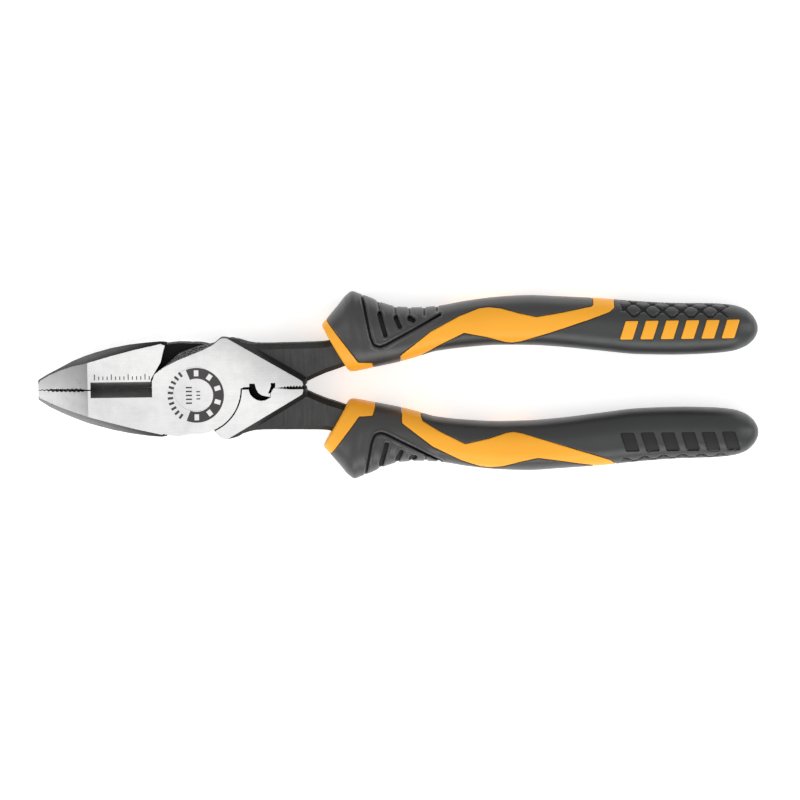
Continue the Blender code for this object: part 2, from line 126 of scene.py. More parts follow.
def only_near(measure, x, y, points, margin):
    """measure(x, y) near the points, and a safe lower bound further off."""
    x, y = np.broadcast_arrays(x, y)
    px, py = zip(*points)
    away = np.maximum(np.maximum(min(px) - x, x - max(px)), np.maximum(min(py) - y, y - max(py)))
    near = away < margin
    out = np.maximum(away, margin)
    out[near] = measure(x[near], y[near])
    return out


def polygon(x, y, points, margin=4.0):
    """Signed distance to a closed outline, negative inside."""
    def measure(x, y):
        best = np.full(x.shape, 1e9)
        inside = np.zeros(x.shape, bool)
        for (ax, ay), (bx, by) in zip(points, points[1:] + points[:1]):
            ex, ey = bx - ax, by - ay
            wx, wy = x - ax, y - ay
            t = np.clip((wx * ex + wy * ey) / (ex * ex + ey * ey), 0.0, 1.0)
            best = np.minimum(best, (wx - t * ex) ** 2 + (wy - t * ey) ** 2)
            if ay != by:
                inside ^= ((ay <= y) != (by <= y)) & (x < ax + wy * (ex / ey))
        return np.where(inside, -1.0, 1.0) * np.sqrt(best)

    return only_near(measure, x, y, points, margin)


def polyline(x, y, points, margin=4.0):
    """Distance to an open line."""
    def measure(x, y):
        best = np.full(x.shape, 1e9)
        for (ax, ay), (bx, by) in zip(points, points[1:]):
            ex, ey = bx - ax, by - ay
            wx, wy = x - ax, y - ay
            t = np.clip((wx * ex + wy * ey) / (ex * ex + ey * ey), 0.0, 1.0)
            best = np.minimum(best, (wx - t * ex) ** 2 + (wy - t * ey) ** 2)
        return np.sqrt(best)

    return only_near(measure, x, y, points, margin)


def rounded(points, radius, steps=5, closed=True):
    """The outline, or open line, with its corners cut back to arcs."""
    out, n = [], len(points)
    for i in range(n):
        if not closed and i in (0, n - 1):
            out.append(points[i])
            continue
        a, p, b = (Vector(points[j % n]) for j in (i - 1, i, i + 1))
        u, v = (a - p), (b - p)
        lu, lv = u.length, v.length
        u.normalize()
        v.normalize()
        angle = u.angle(v)
        if angle > 3.05:
            out.append(tuple(p))
            continue
        cut = min(radius / math.tan(angle / 2), 0.45 * lu, 0.45 * lv)
        start, end = p + u * cut, p + v * cut
        for k in range(steps + 1):
            t = k / steps
            q = start * (1 - t) ** 2 + p * (2 * t * (1 - t)) + end * t * t
            out.append(tuple(q))
    return out


def monotone(rows, x):
    """Each column of rows at x, on monotone cubic curves."""
    rows = np.array(rows, float)
    xs = rows[:, 0]
    h = np.diff(xs)
    out = []
    at = np.clip(x, xs[0], xs[-1])
    i = np.clip(np.searchsorted(xs, at, side="right") - 1, 0, len(xs) - 2)
    t = (at - xs[i]) / h[i]
    for c in range(1, rows.shape[1]):
        v = rows[:, c]
        d = np.diff(v) / h
        m = np.concatenate([[d[0]], np.where(d[:-1] * d[1:] <= 0, 0.0, 2 * d[:-1] * d[1:] / np.where(d[:-1] + d[1:] == 0, 1, d[:-1] + d[1:])), [d[-1]]])
        out.append(
            (2 * t**3 - 3 * t**2 + 1) * v[i] + (t**3 - 2 * t**2 + t) * h[i] * m[i]
            + (3 * t**2 - 2 * t**3) * v[i + 1] + (t**3 - t**2) * h[i] * m[i + 1]
        )
    return out


TABLE_X = np.linspace(10.0, 188.5, 3600)
GRIP_TABLE = monotone(GRIP, TABLE_X)
TANG_TABLE = monotone(TANG, TABLE_X)


def looked_up(table, x):
    return [np.interp(x, TABLE_X, column) for column in table]


def arc(radius, start, end, count, centre=(0.0, 0.0)):
    return [
        (centre[0] + radius * math.cos(math.radians(start + (end - start) * k / count)),
         centre[1] + radius * math.sin(math.radians(start + (end - start) * k / count)))
        for k in range(count + 1)
    ]


# --------------------------------------------------------------- the forging
JAW_PLANS = {
    True: [(-52.5, SEAM)] + JAW_EDGE + JAW_REAR,
    False: [(-52.5, SEAM)] + FAR_JAW_EDGE + [(-9.7, 15.2)] + JAW_REAR[1:],
}
FLAT_PLANS = {
    near: [(-60.0, -9.0)] + edge + [(-9.7, 14.5), (-5.8, 13.0), (-5.8, -9.0)]
    for near, edge in ((True, FLAT_EDGE), (False, FAR_FLAT_EDGE))
}
LAP_PLANS = {
    near: SHOULDER[::-1] + arc(DISC_R, 166, 178, 4)
    + [(-DISC_R, -SEAM), (-15.6, -SEAM - 0.04), (-19.0, -2.0)] + foot
    + arc(radius, -95, -3, 46)
    + [(DISC_R, SEAM), (15.6, SEAM + 0.04), (18.0, 2.0), (18.0, 12.3), (10.6, 16.7), (9.0, 16.8), (8.3, 16.5), (7.6, 15.9)]
    for near, radius, foot in (
        (True, DISC_R, [(-19.0, -13.2), (-11.3, -14.95), (-5.8, -15.75), (-2.6, -15.1)]),
        (False, DISC_R - 0.45, [(-19.0, -12.8), (-11.3, -14.2), (-5.8, -14.75), (-2.6, -14.65)]),
    )
}
FACE_PLAN = FACE_EDGE + [(9.0, 30.0), (40.0, 30.0), (40.0, -30.0), (-40.0, -30.0), (-40.0, 2.0)]
SKIRT = [(6.1, 14.2), (7.2, 15.45), (8.4, 16.5), (9.4, 16.82), (10.9, 16.85), (12.5, 16.6), (14.6, 16.1), (17.8, 14.9), (20.1, 14.4), (24.0, 14.35), (42.0, 4.0), (42.0, SEAM), (6.5, SEAM)]
UNDERCUT = [(6.1, 13.0), (8.0, 14.7), (9.8, 15.7), (12.0, 15.9), (14.6, 15.5), (17.8, 14.6), (20.1, 14.3), (24.0, 14.35), (42.0, 4.0), (42.0, SEAM), (6.5, SEAM)]
NECK = [(9.8, 10.0), (9.8, 15.5), (11.8, 16.0), (14.6, 15.9), (17.8, 14.85), (20.1, 14.4), (26.0, 14.35), (26.0, 2.0), (20.0, 2.0)]
# the crimping nest in the far half, its nub on the near one, and the two gaps left between them
NEST = [(17.8, 1.8), (17.75, -0.5), (18.2, -1.8), (19.2, -2.9), (20.4, -3.65), (21.7, -3.95), (23.2, -3.75), (24.9, -2.85), (25.0, -1.4), (26.2, 0.6), (26.3, 1.8)]
GAP_LEFT = [(17.95, 1.75), (17.8, -0.5), (18.2, -1.8), (19.2, -2.9), (20.4, -3.65), (21.7, -3.95), (23.2, -3.75), (25.0, -2.9), (22.0, -2.25), (20.7, -1.4), (19.95, 0.0), (19.5, 1.7)]
GAP_RIGHT = [(24.85, 1.85), (26.15, 1.85), (26.15, 0.9), (25.1, -1.35), (23.95, -1.35), (24.45, -0.3), (24.9, 1.0)]
NUB = [(18.0, 3.4), (18.0, -0.4), (18.4, -1.7), (19.4, -2.8), (20.5, -3.5), (21.7, -3.8), (23.1, -3.6), (24.75, -2.75), (24.85, -1.4), (26.05, 0.6), (26.1, 3.4)]


def tang(x, y, z, grow=0.0):
    c, a, b = looked_up(TANG_TABLE, x)
    qy, qz = np.abs(y - c) - a, np.abs(z) - b
    draft = (qy + 1.7) * 0.848 + qz * 0.530
    return np.maximum(np.maximum(np.maximum(qy, qz), draft), np.maximum(14.0 - x, x - 166.0)) - grow


def saw(x, first, pitch):
    """A row of V teeth, 0 in the valleys and 1 on the crests."""
    return 1.0 - np.abs(2.0 * np.mod((x - first) / pitch, 1.0) - 1.0)


def along(x, table):
    xs, values = zip(*table)
    return np.interp(x, xs, values)


NOSE_GAP = [(-52.5, 0.10), (-49.6, 0.18), (-47.6, 0.46), (-38.0, 0.5), (-36.6, 0.24), (-34.8, 0.16)]
NOSE_TEETH = [(-52.5, 0.16), (-47.8, 0.4), (-38.0, 0.4), (-36.3, 0.0)]
HEEL_GAP = [(27.2, SEAM), (29.5, 0.3), (31.5, 0.5), (36.0, 0.5)]


def forging(x, y, z, near):
    az, yj = np.abs(z), -y
    r = np.sqrt(x * x + y * y)
    d = np.maximum(0.0, NOSE_X - x)
    drop = (NOSE_SLOPE + 0.005 * np.clip(yj, 0.0, 10.0)) * d - NOSE_HOLLOW * d * d
    top = np.where(d > 0, (az - JOINT_H + drop) * 0.975, az - JOINT_H)
    off = polygon(x, yj, FLAT_PLANS[near])
    rise = az - (JOINT_H - drop)
    side = smax(off * 0.62 + rise * 0.785, (off - 0.9) * 0.874 + (rise + 0.75) * 0.486, 0.5)
    lean = 0.0
    if not near:
        lean = FAR_LEAN * z * np.clip((yj - along(x, [(-52.0, 1.0), (-30.0, 6.0), (-20.0, 8.0), (-9.0, 10.0)])) / 3.0, 0.0, 1.0)
    wall = polygon(x, yj + lean, JAW_PLANS[near])
    jaw = np.maximum(np.maximum(wall, top), side)
    # serrations, then the side cutter's bevels
    phase = 0.0 if near else 0.72
    teeth = along(x, NOSE_GAP) + along(x, NOSE_TEETH) * (saw(x, -52.6 + phase, 1.44) - 0.5)
    jaw = np.maximum(jaw, np.where(x < -34.85, (teeth - yj) * 0.8, -9.0))
    bevel = ((yj - SEAM) * 7.5 - (az - 0.45) * 2.55) / 7.92
    window = np.maximum(np.maximum(KNIFE_X[0] - x, x - KNIFE_X[1]), bevel)
    lap = np.maximum(np.maximum(polygon(x, y, LAP_PLANS[near]), z - JOINT_H), SEAM - z)
    lap = np.maximum(lap, polygon(x, y, FACE_PLAN) * 0.6 + (z - JOINT_H) * 0.8)
    out = polygon(x, y, DIAMOND)
    shown = z if near else -z
    skirt = np.maximum(polygon(x, y, SKIRT), np.minimum(polygon(x, y, UNDERCUT), (5.8 - shown) * 0.7))
    raised = np.maximum(np.maximum(skirt, az - JOINT_H), out * 0.872 + (az - JOINT_H) * 0.49)
    raised = np.maximum(raised, (x - 36.5) * 0.96 + (az - JOINT_H) * 0.07)
    neck = polygon(x, y, NECK)
    neck = np.maximum(np.maximum(neck, az - NECK_H), (neck + 1.7) * 0.848 + (az - NECK_H) * 0.53)
    neck = np.minimum(neck, np.maximum(tang(x, y, z), SEAM - y))
    rear = np.maximum(smin(raised, neck, 0.4), SEAM - y)
    rear = np.maximum(rear, RECESS_R - r)
    heel = along(x, HEEL_GAP) + (0.55 if near else 0.12) * (saw(x, 27.2, 1.0) - 0.5) * np.clip((x - 28.0) / 2.0, 0.0, 1.0)
    rear = np.maximum(rear, np.where((x > 27.2) & (x < 38.0), (heel - y) * 0.9, -9.0))
    rear = np.maximum(rear, np.where(x < 18.2, np.minimum(0.4 - y, 18.0 - x), -9.0))
    body = np.minimum(np.minimum(jaw, lap), rear)
    body = np.maximum(body, -window)
    if near:
        body = np.minimum(body, np.maximum(polygon(x, y + 0.3, NUB), az - JOINT_H))
        gaps = np.minimum(polygon(x - 0.1, y + 0.3, GAP_LEFT) - 0.12, polygon(x - 0.3, y + 0.3, GAP_RIGHT) - 0.1)
        body = np.maximum(body, -np.maximum(gaps, 1.0 - z))
    else:
        body = np.maximum(body, -polygon(x, 0.3 - y, NEST))
    bore = np.where(az > JOINT_H - 1.7, r - 7.385, r - 5.7)
    return np.maximum(body, -bore)


# ----------------------------------------------------------------- the grips
STRIPE_PLAN = rounded(STRIPE, 1.1)
COLLAR_PLAN = rounded(COLLAR, 0.7)
TOP_SHIFT, UNDER_SHIFT = 1.25, -0.65
SLOTS = [
    ((61.5, 25.3), (63.35, 18.6), 0.78), ((66.9, 23.9), (68.2, 21.2), 0.74),
    ((71.5, 23.6), (72.7, 23.2), 0.78),
]
RIB_LINES = [((61.7, 25.2), (60.0, 33.0)), ((67.0, 23.7), (66.2, 33.0)), ((71.6, 22.9), (71.2, 33.0)), ((76.4, 23.6), (76.2, 33.0)), ((80.6, 24.9), (80.9, 33.0))]
GROOVE_PLAN = rounded(RIB_GROOVE, 2.2, 6, False)
MARKS = [
    [(141.2 + 6.75 * k, 15.9), (145.5 + 6.75 * k, 15.9), (147.5 + 6.75 * k, 22.1), (143.2 + 6.75 * k, 22.1)]
    for k in range(6)
]
MARK_PLANS = [rounded(m, 0.4, 3) for m in MARKS]


def grip_skin(x, y, z):
    outer, inner = looked_up(GRIP_TABLE[:2], x)
    # the guard's ridge runs slightly askew across the grip
    (high,) = looked_up(GRIP_TABLE[2:], x - 0.17 * np.clip(30.0 - y, 0.0, 26.0) * np.clip((74.0 - x) / 14.0, 0.0, 1.0))
    mid, a = (outer + inner) / 2, (outer - inner) / 2
    n = 2.35
    g = ((np.abs(y - mid) / a) ** n + (np.abs(z) / high) ** n) ** (1 / n)
    r = np.sqrt((y - mid) ** 2 + z * z)
    d = np.where(g < 0.05, -np.minimum(a, high), r * (1 - 1 / np.maximum(g, 0.05)))
    return np.maximum(d, x - 187.5)


def both_faces(measure, y, z):
    """measure(y) with its outline in place on the upper face, the lower face and, between them, the sides."""
    t = np.clip((z + 4.0) / 8.0, 0.0, 1.0)
    t = t * t * (3 - 2 * t)
    return measure(y + TOP_SHIFT) * t + measure(y + UNDER_SHIFT) * (1 - t)


def mouth(x, y):
    (x1, y1), (x2, y2) = MOUTH
    length = math.hypot(x2 - x1, y2 - y1)
    return -((x - x1) * (y1 - y2) + (y - y1) * (x2 - x1)) / length


def marks(x, y):
    return np.minimum.reduce([polygon(x, y, m) for m in MARK_PLANS])


def lugs(x, y, z):
    """Depth of the crossed grooves on the outer edge near the end."""
    outer, inner, high = looked_up(GRIP_TABLE, x)
    mid = (outer + inner) / 2
    s = np.arctan2(z, y - mid) * 8.6
    p = 6.35
    one = np.abs(np.mod((x + s) / p, 1.0) - 0.5) * p * 0.707
    two = np.abs(np.mod((x - s) / p, 1.0) - 0.5) * p * 0.707
    line = np.minimum(one, two)
    cut = np.clip(1.0 - line / 0.8, 0.0, 1.0)
    cut = cut * cut * (3 - 2 * cut)
    pits = np.clip(1.0 - np.maximum(one, two) / 1.5, 0.0, 1.0)
    zone = np.clip((9.6 - s) / 0.8, 0.0, 1.0) * np.clip((s + 6.4) / 0.8, 0.0, 1.0) * np.clip((x - 141.0) / 1.5, 0.0, 1.0) * np.clip((178.5 - x) / 1.5, 0.0, 1.0)
    return (0.6 * cut + 0.5 * pits) * zone


def cut_groove(body, skin, line, half, depth, soft=0.25):
    return smax(body, -smax(line - half, -(skin + depth), soft), soft)


def orange_plan(x, y, z):
    return both_faces(lambda y: np.minimum(polygon(x, y, STRIPE_PLAN), polygon(x, y, COLLAR_PLAN)), y, z)


def core(x, y, z):
    skin = grip_skin(x, y, z)
    front = mouth(x, y)
    body = smax(smax(skin, front, 0.9), orange_plan(x, y, z), 0.35)
    sleeve = np.maximum(np.maximum(skin + 2.1, front + 0.5), 40.0 - x)
    return np.maximum(np.minimum(body, sleeve), -tang(x, y, z, 0.12))


def guard(x, y, z):
    skin = grip_skin(x, y, z)
    body = smax(skin, mouth(x, y), 0.9)
    groove = both_faces(lambda y: polyline(x, y, GROOVE_PLAN), y, z)
    slots = both_faces(lambda y: np.minimum.reduce([polyline(x, y, [a, b]) - half for a, b, half in SLOTS]), y, z)
    ribs = polyline(x, y, RIB_LINES[0])
    for line in RIB_LINES[1:]:
        ribs = np.minimum(ribs, polyline(x, y, line))
    up = np.clip((np.abs(z) - 2.8) / 2.6, 0.0, 1.0)
    # a raised lip each side of every moulded groove
    lip = np.minimum(np.abs(groove - 1.0), np.abs(slots - 0.55))
    body = body - 0.2 * np.clip(1.0 - lip / 0.45, 0.0, 1.0) * up
    body = smax(body, -smax(groove - 0.42, -(skin + 0.25 + 1.25 * up), 0.15), 0.15)
    body = smax(body, -smax(slots, -(skin + 0.1 + 1.3 * up), 0.2), 0.2)
    body = smax(body, -smax(ribs - 0.55, -(skin + 0.4), 0.5), 0.5)
    body = smax(body, -(orange_plan(x, y, z) - 0.1), 0.45)
    return np.maximum(body, -(skin + 3.2))


def end_cover(x, y, z):
    skin = grip_skin(x, y, z)
    body = skin + lugs(x, y, z)
    deep = np.where(z > 0, 0.7, 0.45)
    body = smax(body, -smax(both_faces(lambda y: marks(x, y), y, z) - 0.12, -(skin + deep), 0.12), 0.12)
    body = smax(body, -(orange_plan(x, y, z) - 0.1), 0.45)
    return np.maximum(body, -(skin + 3.2))


def inlay(x, y, z):
    """The raised bars let into the end of one face."""
    skin = grip_skin(x, y, z)
    shape = both_faces(lambda y: marks(x, y), y, z)
    return np.maximum(smax(shape, skin - 0.12, 0.3), np.maximum(-(skin + 0.9), 1.0 - z))


# ------------------------------------------------------------------- meshing
def contour(field, xs, ys, zs):
    """Dual contouring of a distance field on a rectilinear grid: (points, quads)."""
    values = field(xs[:, None, None], ys[None, :, None], zs[None, None, :])
    values = np.ascontiguousarray(np.broadcast_to(values, (len(xs), len(ys), len(zs))))
    inside = values < 0
    shape = (len(xs) - 1, len(ys) - 1, len(zs) - 1)
    grid = (xs, ys, zs)
    points, flips, cells = [], [], []
    for axis in range(3):
        lo = [slice(None)] * 3
        hi = [slice(None)] * 3
        lo[axis], hi[axis] = slice(0, -1), slice(1, None)
        for other in range(3):
            if other != axis:
                lo[other] = hi[other] = slice(1, -1)
        first, second = inside[tuple(lo)], inside[tuple(hi)]
        index = np.argwhere(first != second)
        if not len(index):
            continue
        for other in range(3):
            if other != axis:
                index[:, other] += 1
        step = np.zeros(3, int)
        step[axis] = 1
        a = values[tuple(index.T)]
        b = values[tuple((index + step).T)]
        start = np.stack([grid[k][index[:, k]] for k in range(3)], 1)
        end = start.copy()
        end[:, axis] = grid[axis][index[:, axis] + 1]
        t0, t1, v0, v1 = np.zeros(len(a)), np.ones(len(a)), a.copy(), b.copy()
        for _ in range(2):
            t = t0 + (t1 - t0) * np.clip(v0 / (v0 - v1), 0.02, 0.98)
            p = start + (end - start) * t[:, None]
            v = field(p[:, 0], p[:, 1], p[:, 2])
            same = (v < 0) == (v0 < 0)
            t0, v0 = np.where(same, t, t0), np.where(same, v, v0)
            t1, v1 = np.where(same, t1, t), np.where(same, v1, v)
        t = t0 + (t1 - t0) * np.clip(v0 / np.where(v0 == v1, 1, v0 - v1), 0.0, 1.0)
        points.append(start + (end - start) * t[:, None])
        flips.append(a < 0)
        j, k = (axis + 1) % 3, (axis + 2) % 3
        around = []
        for dj, dk in ((-1, -1), (0, -1), (0, 0), (-1, 0)):
            c = index.copy()
            c[:, j] += dj
            c[:, k] += dk
            around.append((c[:, 0] * shape[1] + c[:, 1]) * shape[2] + c[:, 2])
        cells.append(np.stack(around, 1))
    points, flips, cells = np.concatenate(points), np.concatenate(flips), np.concatenate(cells)
    h = 2e-3
    base = field(points[:, 0], points[:, 1], points[:, 2])
    normal = np.stack([
        field(points[:, 0] + (h if k == 0 else 0), points[:, 1] + (h if k == 1 else 0), points[:, 2] + (h if k == 2 else 0)) - base
        for k in range(3)
    ], 1)
    normal /= np.maximum(np.linalg.norm(normal, axis=1), 1e-12)[:, None]
    used, local = np.unique(cells, return_inverse=True)
    local = local.reshape(cells.shape)
    n = len(used)
    flat = local.ravel()

    def total(v):
        return np.bincount(flat, weights=np.repeat(v, 4), minlength=n)

    count = np.bincount(flat, minlength=n).astype(float)
    mass = np.stack([total(points[:, k]) for k in range(3)], 1) / count[:, None]
    ata = np.empty((n, 3, 3))
    for i in range(3):
        for j in range(i, 3):
            ata[:, i, j] = ata[:, j, i] = total(normal[:, i] * normal[:, j])
    b = (normal * points).sum(1)
    atb = np.stack([total(normal[:, k] * b) for k in range(3)], 1)
    rhs = atb - np.einsum("nij,nj->ni", ata, mass)
    ata += np.eye(3)[None] * (0.04 * count)[:, None, None]
    at = mass + np.linalg.solve(ata, rhs[:, :, None])[:, :, 0]
    ci = np.stack(np.unravel_index(used, shape), 1)
    for k in range(3):
        low, high = grid[k][ci[:, k]], grid[k][ci[:, k] + 1]
        at[:, k] = np.clip(at[:, k], low + 1e-4, high - 1e-4)
    quads = np.where(flips[:, None], local, local[:, ::-1])
    return at, quads


def spaced(*stops):
    """Grid lines through (start, end, spacing) stretches."""
    out = []
    for start, end, gap in stops:
        n = max(1, round((end - start) / gap))
        out.append(np.linspace(start, end, n, endpoint=False))
    return np.concatenate(out + [[stops[-1][1]]])


def mesh_object(name, points, quads, turned=False, keep=None):
    mesh = bpy.data.meshes.new(name)
    at = points.copy()
    if turned:
        at[:, 1] *= -1
        at[:, 2] *= -1
    at = (at + np.array(PIVOT)) * MM
    if keep is not None:
        quads = quads[keep]
        used, quads = np.unique(quads, return_inverse=True)
        quads = quads.reshape(-1, 4)
        at = at[used]
    mesh.vertices.add(len(at))
    mesh.vertices.foreach_set("co", at.astype(np.float32).ravel())
    mesh.loops.add(len(quads) * 4)
    mesh.loops.foreach_set("vertex_index", quads.astype(np.int32).ravel())
    mesh.polygons.add(len(quads))
    mesh.polygons.foreach_set("loop_start", np.arange(0, len(quads) * 4, 4, dtype=np.int32))
    mesh.update(calc_edges=True)
    mesh.validate()
    obj = bpy.data.objects.new(name, mesh)
    bpy.context.scene.collection.objects.link(obj)
    return obj


def bodies_of(quads, n):
    """A label for each quad: which separate body it belongs to."""
    label = np.arange(n)
    while True:
        low = label[quads].min(1)
        new = label.copy()
        np.minimum.at(new, quads.ravel(), np.repeat(low, 4))
        new = new[new]
        if (new == label).all():
            return label[quads[:, 0]]
        label = new


def finish_piece(obj, body, materials, nodes=(), slot=None, sharp=28.0):
    for m in materials:
        obj.data.materials.append(m)
    obj.data.shade_smooth()
    obj.data.set_sharp_from_angle(angle=math.radians(sharp))
    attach(obj, body)
    if nodes:
        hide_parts(*nodes)
    return obj


# ----------------------------------------------------------------- materials
def new_material(name):
    """A node material, its nodes and links, and its shader."""
    m = bpy.data.materials.new(name)
    m.use_nodes = True
    nodes, links = m.node_tree.nodes, m.node_tree.links
    nodes.clear()
    shader = nodes.new("ShaderNodeBsdfPrincipled")
    out = nodes.new("ShaderNodeOutputMaterial")
    links.new(shader.outputs["BSDF"], out.inputs["Surface"])
    return m, nodes, links, shader


def coordinates(nodes, links, scale=(1, 1, 1), turn=(0, 0, 0)):
    tex = nodes.new("ShaderNodeTexCoord")
    mapping = nodes.new("ShaderNodeMapping")
    mapping.inputs["Scale"].default_value = scale
    mapping.inputs["Rotation"].default_value = turn
    links.new(tex.outputs["Object"], mapping.inputs["Vector"])
    return mapping.outputs["Vector"]


def noise(nodes, links, vector, scale, detail=3.0, rough=0.5):
    n = nodes.new("ShaderNodeTexNoise")
    n.inputs["Scale"].default_value = scale
    n.inputs["Detail"].default_value = detail
    n.inputs["Roughness"].default_value = rough
    links.new(vector, n.inputs["Vector"])
    return n.outputs["Fac"]


def ramp(nodes, links, value, stops):
    r = nodes.new("ShaderNodeValToRGB")
    while len(r.color_ramp.elements) > len(stops):
        r.color_ramp.elements.remove(r.color_ramp.elements[-1])
    while len(r.color_ramp.elements) < len(stops):
        r.color_ramp.elements.new(1.0)
    for e, (at, colour) in zip(r.color_ramp.elements, stops):
        e.position = at
        e.color = (*colour, 1.0) if len(colour) == 3 else colour
    links.new(value, r.inputs["Fac"])
    return r.outputs["Color"]


def mixed(nodes, links, factor, a, b, kind="MIX"):
    m = nodes.new("ShaderNodeMix")
    m.data_type = "RGBA"
    m.blend_type = kind
    for socket, value in ((m.inputs[0], factor), (m.inputs[6], a), (m.inputs[7], b)):
        if hasattr(value, "is_linked"):
            links.new(value, socket)
        elif isinstance(value, (int, float)):
            socket.default_value = value
        else:
            socket.default_value = (*value, 1.0)
    return m.outputs[2]


def bumped(nodes, links, shader, height, distance, strength=1.0, after=None):
    b = nodes.new("ShaderNodeBump")
    b.inputs["Strength"].default_value = strength
    b.inputs["Distance"].default_value = distance
    links.new(height, b.inputs["Height"])
    if after is not None:
        links.new(after, b.inputs["Normal"])
    links.new(b.outputs["Normal"], shader.inputs["Normal"])
    return b.outputs["Normal"]


def grey(v):
    return (v, v, v)


def ground_steel(name, along, base=0.80, rough=0.24, shaded=False):
    """Bright ground steel: fine lines along one direction, faint handling marks, and, when shaded, a painted
    reflection shade that darkens the face towards its edge by the tang.
    """
    m, nodes, links, shader = new_material(name)
    v = coordinates(nodes, links)
    stretch = coordinates(nodes, links, (60, 4200, 60) if along == "X" else (4200, 60, 60))
    lines = noise(nodes, links, stretch, 1.0, 4.0, 0.6)
    broad = noise(nodes, links, v, 46.0, 2.0, 0.4)
    smear = noise(nodes, links, v, 320.0, 4.0, 0.65)
    tone = ramp(nodes, links, broad, [(0.28, grey(base * 0.87)), (0.6, (base * 1.03, base * 1.03, base * 1.025))])
    fine = ramp(nodes, links, lines, [(0.3, grey(0.93)), (0.7, grey(1.0))])
    if shaded:
        # painted reflection shade: a grey gradient across the face, darker towards the edge by the tang
        dot = nodes.new("ShaderNodeVectorMath")
        dot.operation = "DOT_PRODUCT"
        dot.inputs[1].default_value = (0.522, 0.853, 0.0)
        links.new(v, dot.inputs[0])
        place = nodes.new("ShaderNodeMapRange")
        place.inputs["From Min"].default_value = -0.0275
        place.inputs["From Max"].default_value = -0.0145
        links.new(dot.outputs["Value"], place.inputs["Value"])
        edge = ramp(nodes, links, place.outputs["Result"], [(0.0, grey(1.0)), (0.45, grey(0.92)), (1.0, grey(0.7))])
        tone = mixed(nodes, links, 1.0, tone, edge, "MULTIPLY")
    links.new(mixed(nodes, links, 1.0, tone, fine, "MULTIPLY"), shader.inputs["Base Color"])
    r = ramp(nodes, links, smear, [(0.3, grey(rough * 0.85)), (0.75, grey(rough * 1.3))])
    links.new(r, shader.inputs["Roughness"])
    shader.inputs["Metallic"].default_value = 1.0
    bumped(nodes, links, shader, lines, 0.000004, 0.6)
    return m


def dark_oxide(name, base=0.042, rough=0.42, metal=0.35, spec=0.5, streak=0.0):
    """Blackened forged steel, a little mottled, with scale in the bump."""
    m, nodes, links, shader = new_material(name)
    v = coordinates(nodes, links)
    cloud = noise(nodes, links, v, 90.0, 4.0, 0.6)
    scale = noise(nodes, links, v, 900.0, 5.0, 0.6)
    grain = noise(nodes, links, v, 3600.0, 3.0, 0.6)
    tone = ramp(nodes, links, cloud, [(0.25, (base * 0.78, base * 0.78, base * 0.8)), (0.75, (base * 1.35, base * 1.33, base * 1.3))])
    spots = ramp(nodes, links, scale, [(0.3, grey(0.86)), (0.7, grey(1.08))])
    colour = mixed(nodes, links, 1.0, tone, spots, "MULTIPLY")
    if streak:
        brushed = noise(nodes, links, coordinates(nodes, links, (1500, 90, 90)), 1.0, 3.0, 0.6)
        shade = ramp(nodes, links, brushed, [(0.3, grey(1.0 - streak)), (0.7, grey(1.0 + streak))])
        colour = mixed(nodes, links, 1.0, colour, shade, "MULTIPLY")
    links.new(colour, shader.inputs["Base Color"])
    r = ramp(nodes, links, scale, [(0.25, grey(rough * 0.88)), (0.8, grey(rough * 1.25))])
    links.new(r, shader.inputs["Roughness"])
    shader.inputs["Metallic"].default_value = metal
    shader.inputs["Specular IOR Level"].default_value = spec
    first = bumped(nodes, links, shader, grain, 0.00001, 0.5)
    bumped(nodes, links, shader, scale, 0.00005, 0.7, first)
    return m


def moulded(name, colour, rough, grain=0.00002, dust=0.05, grain_scale=2600.0, spec=0.4):
    """Moulded plastic or rubber: fine spark texture, handling wear."""
    m, nodes, links, shader = new_material(name)
    v = coordinates(nodes, links)
    cloud = noise(nodes, links, v, 55.0, 3.0, 0.5)
    wear = noise(nodes, links, v, 240.0, 5.0, 0.62)
    fine = noise(nodes, links, v, grain_scale, 2.0, 0.5)
    lo = tuple(c * (1 - dust) for c in colour)
    hi = tuple(min(1.0, c * (1 + dust)) for c in colour)
    tone = ramp(nodes, links, cloud, [(0.3, lo), (0.7, hi)])
    speck = ramp(nodes, links, fine, [(0.3, grey(1.0 - dust * 0.8)), (0.7, grey(1.0))])
    links.new(mixed(nodes, links, 1.0, tone, speck, "MULTIPLY"), shader.inputs["Base Color"])
    r = ramp(nodes, links, wear, [(0.3, grey(rough * 0.9)), (0.72, grey(min(1.0, rough * 1.12)))])
    links.new(r, shader.inputs["Roughness"])
    shader.inputs["Specular IOR Level"].default_value = spec
    bumped(nodes, links, shader, fine, grain, 0.6)
    return m


